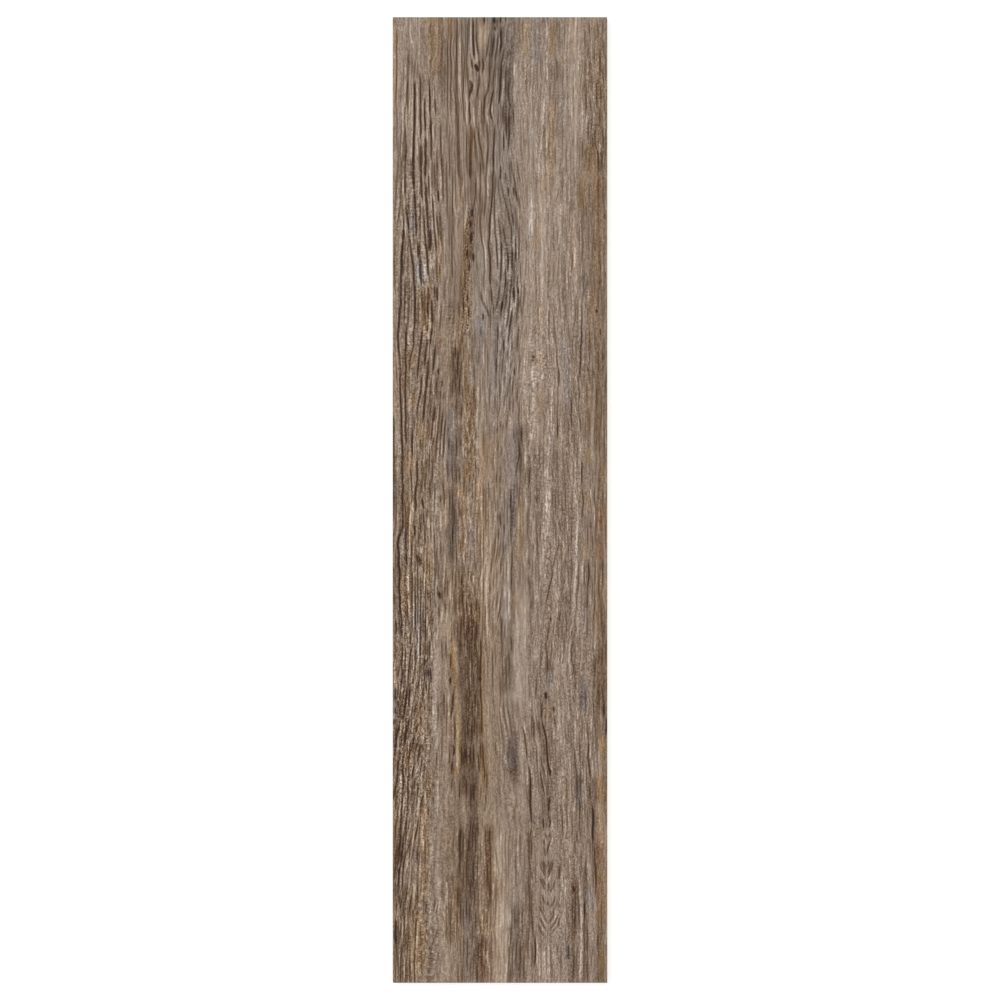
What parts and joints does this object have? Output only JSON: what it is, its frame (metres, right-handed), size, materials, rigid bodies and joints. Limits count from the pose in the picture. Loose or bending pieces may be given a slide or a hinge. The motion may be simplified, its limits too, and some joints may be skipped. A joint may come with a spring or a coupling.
{
  "type": "wood look porcelain plank tile",
  "caption": "Long narrow rectified porcelain floor and wall tile with a weathered wood grain face and a pressed key pattern of shallow pads on its back.",
  "frame": {"origin": "centre of the plane that the back stands on", "axes": "+X across the plank, +Y along it towards the end at the top of the picture, +Z out of the printed face"},
  "size_m": [0.2, 0.9, 0.0095],
  "materials": {
    "porcelain": "matt glaze printed with weathered brown and grey wood grain, over a pale beige unglazed body"
  },
  "bodies": {
    "root": {"plank_tile": "porcelain"}
  },
  "joints": []
}
